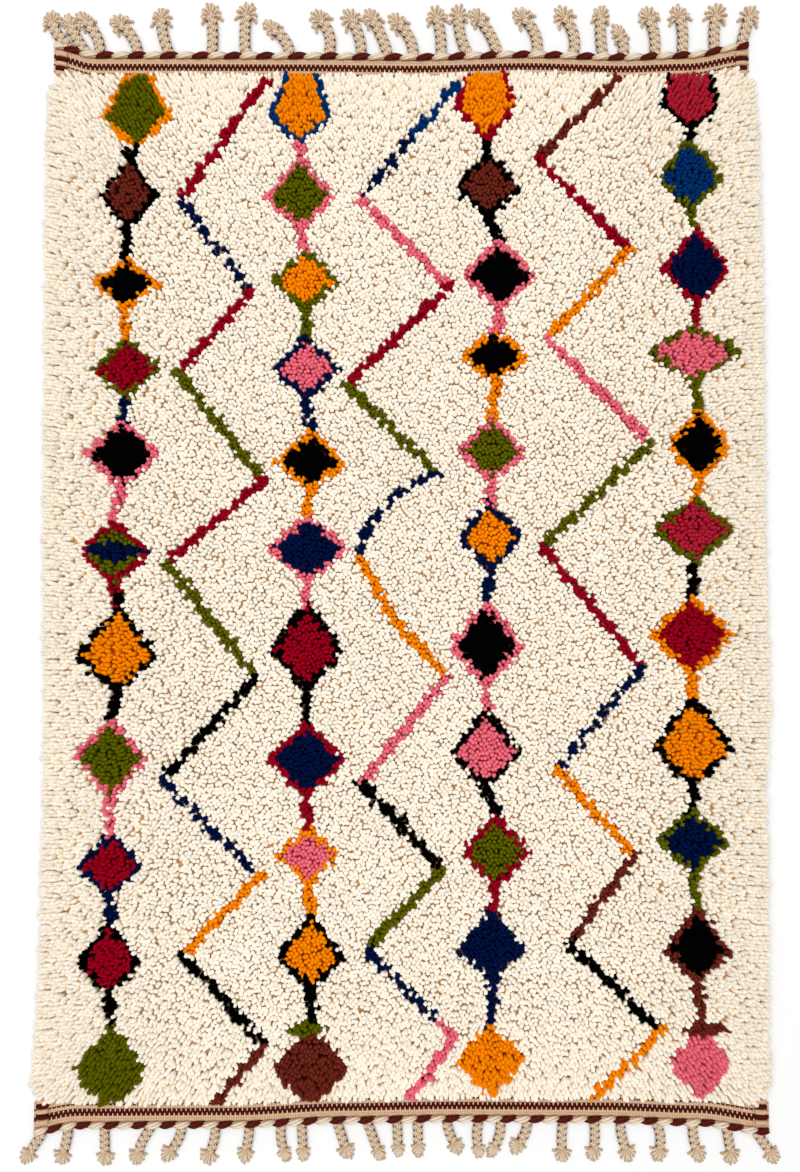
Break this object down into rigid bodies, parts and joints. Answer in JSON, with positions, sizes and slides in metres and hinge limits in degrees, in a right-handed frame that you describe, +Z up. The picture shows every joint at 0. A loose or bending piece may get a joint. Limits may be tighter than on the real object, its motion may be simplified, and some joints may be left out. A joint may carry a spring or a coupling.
{
  "type": "beni ourain rug",
  "caption": "Small hand-knotted shag rug with a deep ivory wool pile, flat-woven end bands, twined edging cords and a plaited fringe, lying flat to cover a floor.",
  "frame": {"origin": "middle of the rug on its underside, at the rest face", "axes": "+Z up out of the pile, +Y along the rug's length towards the end with the longer fringe, +X to the right"},
  "size_m": [1.0442, 1.6379, 0.0239],
  "materials": {
    "ivory_wool_pile": "cut wool pile, matt, ivory with dyed lozenges and zigzags",
    "sand_wool_weave": "weft-faced wool weave, matt, sand with dark brown stripes",
    "sand_wool_cord": "plied wool yarn, matt, sand, the edging cord twined with dark brown"
  },
  "bodies": {
    "root": {"pile_field": "ivory_wool_pile", "end_band_far": "sand_wool_weave", "end_band_near": "sand_wool_weave", "fringe_far": "sand_wool_cord", "fringe_near": "sand_wool_cord"}
  },
  "joints": []
}
